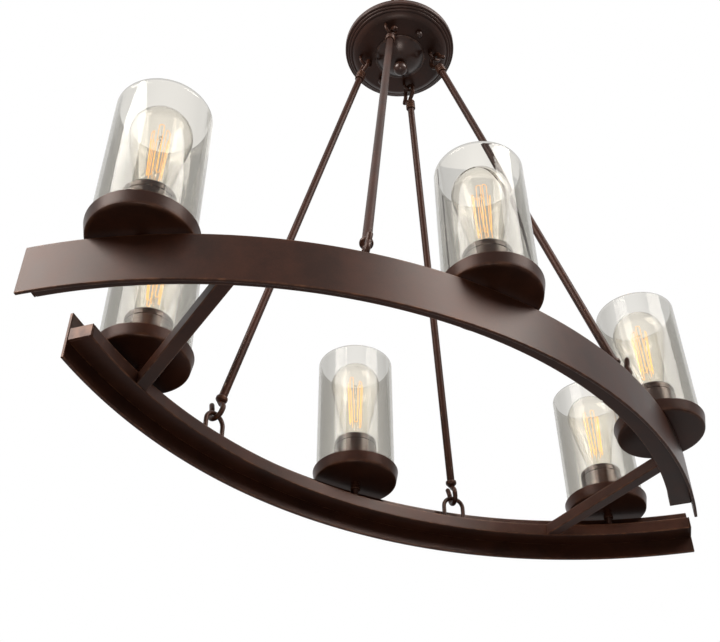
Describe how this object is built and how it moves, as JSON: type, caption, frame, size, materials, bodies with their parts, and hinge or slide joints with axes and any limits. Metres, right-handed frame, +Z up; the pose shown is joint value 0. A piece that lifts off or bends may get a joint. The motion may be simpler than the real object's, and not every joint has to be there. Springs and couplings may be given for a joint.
{
  "type": "oval chandelier",
  "caption": "Oval ring chandelier of staggered curved rails with clear glass cylinder lamps, hung by hooked rods from a stepped hub on a chain.",
  "frame": {"origin": "centre of the ceiling strap's two screw holes, on its top face in the plane of the ceiling", "axes": "+Z up into the ceiling, +X along the oval and the strap, -Y towards the near rail"},
  "size_m": [0.7954, 0.4196, 0.9161],
  "materials": {
    "dark_bronze": "satin",
    "gloss_bronze": "gloss",
    "steel": "satin",
    "lamp_holder": "matte",
    "shade_glass": "clear",
    "bulb_glass": "clear",
    "bulb_brass": "satin"
  },
  "bodies": {
    "ceiling_mount": {"ceiling_canopy": "dark_bronze", "ceiling_strap": "steel", "canopy_loop": "dark_bronze"},
    "chain_link_1": {"chain_link_1": "dark_bronze"},
    "chain_link_2": {"chain_link_2": "dark_bronze"},
    "chain_link_3": {"chain_link_3": "dark_bronze"},
    "chain_link_4": {"chain_link_4": "dark_bronze"},
    "hub": {"hub_loop": "dark_bronze", "hub_cover": "dark_bronze", "hub_pan": "dark_bronze", "hub_dome": "gloss_bronze", "hub_finial": "gloss_bronze", "hub_ball_nuts": "gloss_bronze", "hub_eyes": "dark_bronze"},
    "rod_near_left": {"rod_near_left": "dark_bronze", "rod_hooks_near_left": "dark_bronze"},
    "rod_near_right": {"rod_near_right": "dark_bronze", "rod_hooks_near_right": "dark_bronze"},
    "rod_far_left": {"rod_far_left": "dark_bronze", "rod_hooks_far_left": "dark_bronze"},
    "rod_far_right": {"rod_far_right": "dark_bronze", "rod_hooks_far_right": "dark_bronze"},
    "oval": {"band_near": "dark_bronze", "band_far": "dark_bronze", "tube_near": "dark_bronze", "tube_far": "dark_bronze", "tube_end_caps": "dark_bronze", "cross_bar_left": "dark_bronze", "cross_bar_right": "dark_bronze", "rail_eyes": "dark_bronze", "lamp_nipples": "dark_bronze", "lamp_ferrules": "dark_bronze", "socket_sleeves": "gloss_bronze", "sockets": "lamp_holder", "cup_near_left": "dark_bronze", "cup_far_right": "dark_bronze", "cup_near_middle": "dark_bronze", "cup_far_middle": "dark_bronze", "cup_near_right": "dark_bronze", "cup_far_left": "dark_bronze"},
    "shade_near_left": {"shade_near_left": "shade_glass"},
    "bulb_near_left": {"bulb_glass_near_left": "bulb_glass", "bulb_base_near_left": "bulb_brass"},
    "shade_far_right": {"shade_far_right": "shade_glass"},
    "bulb_far_right": {"bulb_glass_far_right": "bulb_glass", "bulb_base_far_right": "bulb_brass"},
    "shade_near_middle": {"shade_near_middle": "shade_glass"},
    "bulb_near_middle": {"bulb_glass_near_middle": "bulb_glass", "bulb_base_near_middle": "bulb_brass"},
    "shade_far_middle": {"shade_far_middle": "shade_glass"},
    "bulb_far_middle": {"bulb_glass_far_middle": "bulb_glass", "bulb_base_far_middle": "bulb_brass"},
    "shade_near_right": {"shade_near_right": "shade_glass"},
    "bulb_near_right": {"bulb_glass_near_right": "bulb_glass", "bulb_base_near_right": "bulb_brass"},
    "shade_far_left": {"shade_far_left": "shade_glass"},
    "bulb_far_left": {"bulb_glass_far_left": "bulb_glass", "bulb_base_far_left": "bulb_brass"}
  },
  "joints": [
    {"name": "chain_link_1_swing", "type": "hinge", "parent": "ceiling_mount", "child": "chain_link_1", "pos_m": [0, 0, -0.063], "axis": [1, 0, 0], "range_deg": [-35, 35]},
    {"name": "chain_link_2_swing", "type": "hinge", "parent": "chain_link_1", "child": "chain_link_2", "pos_m": [0, 0, -0.1013], "axis": [0, 1, 0], "range_deg": [-35, 35]},
    {"name": "chain_link_3_twist", "type": "hinge", "parent": "chain_link_2", "child": "chain_link_3", "pos_m": [0, 0, -0.1398], "axis": [0, 0, 1], "range_deg": [-25, 25]},
    {"name": "chain_link_4_swing", "type": "hinge", "parent": "chain_link_3", "child": "chain_link_4", "pos_m": [0, 0, -0.1783], "axis": [0, 1, 0], "range_deg": [-35, 35]},
    {"name": "hub_swing", "type": "hinge", "parent": "chain_link_4", "child": "hub", "pos_m": [0, 0, -0.2168], "axis": [1, 0, 0], "range_deg": [-25, 25]},
    {"name": "oval_sway", "type": "hinge", "parent": "hub", "child": "oval", "pos_m": [0, 0, -0.12152], "axis": [1, 0, 0], "range_deg": [-3, 3]},
    {"name": "rod_near_left_swing", "type": "hinge", "parent": "hub", "child": "rod_near_left", "pos_m": [-0.0366, -0.0302, -0.2807], "axis": [1, 0, 0], "range_deg": [-3.9, 3.9]},
    {"name": "rod_near_right_swing", "type": "hinge", "parent": "hub", "child": "rod_near_right", "pos_m": [0.0366, -0.0302, -0.2807], "axis": [1, 0, 0], "range_deg": [-3.9, 3.9]},
    {"name": "rod_far_left_swing", "type": "hinge", "parent": "hub", "child": "rod_far_left", "pos_m": [-0.0366, 0.0302, -0.2807], "axis": [1, 0, 0], "range_deg": [-3.9, 3.9]},
    {"name": "rod_far_right_swing", "type": "hinge", "parent": "hub", "child": "rod_far_right", "pos_m": [0.0366, 0.0302, -0.2807], "axis": [1, 0, 0], "range_deg": [-3.9, 3.9]},
    {"name": "shade_near_left_lift", "type": "slide", "parent": "oval", "child": "shade_near_left", "axis": [0, 0, 1], "range_m": [0, 0.17]},
    {"name": "bulb_near_left_lift", "type": "slide", "parent": "oval", "child": "bulb_near_left", "axis": [0, 0, 1], "range_m": [0, 0.14]},
    {"name": "shade_far_right_lift", "type": "slide", "parent": "oval", "child": "shade_far_right", "axis": [0, 0, 1], "range_m": [0, 0.17]},
    {"name": "bulb_far_right_lift", "type": "slide", "parent": "oval", "child": "bulb_far_right", "axis": [0, 0, 1], "range_m": [0, 0.14]},
    {"name": "shade_near_middle_lift", "type": "slide", "parent": "oval", "child": "shade_near_middle", "axis": [0, 0, 1], "range_m": [0, 0.17]},
    {"name": "bulb_near_middle_lift", "type": "slide", "parent": "oval", "child": "bulb_near_middle", "axis": [0, 0, 1], "range_m": [0, 0.14]},
    {"name": "shade_far_middle_lift", "type": "slide", "parent": "oval", "child": "shade_far_middle", "axis": [0, 0, 1], "range_m": [0, 0.17]},
    {"name": "bulb_far_middle_lift", "type": "slide", "parent": "oval", "child": "bulb_far_middle", "axis": [0, 0, 1], "range_m": [0, 0.14]},
    {"name": "shade_near_right_lift", "type": "slide", "parent": "oval", "child": "shade_near_right", "axis": [0, 0, 1], "range_m": [0, 0.17]},
    {"name": "bulb_near_right_lift", "type": "slide", "parent": "oval", "child": "bulb_near_right", "axis": [0, 0, 1], "range_m": [0, 0.14]},
    {"name": "shade_far_left_lift", "type": "slide", "parent": "oval", "child": "shade_far_left", "axis": [0, 0, 1], "range_m": [0, 0.17]},
    {"name": "bulb_far_left_lift", "type": "slide", "parent": "oval", "child": "bulb_far_left", "axis": [0, 0, 1], "range_m": [0, 0.14]}
  ],
  "couplings": [
    {"joint": "rod_near_left_swing", "follows": "oval_sway", "ratio": 1.278},
    {"joint": "rod_near_right_swing", "follows": "oval_sway", "ratio": 1.278},
    {"joint": "rod_far_left_swing", "follows": "oval_sway", "ratio": 1.278},
    {"joint": "rod_far_right_swing", "follows": "oval_sway", "ratio": 1.278}
  ]
}
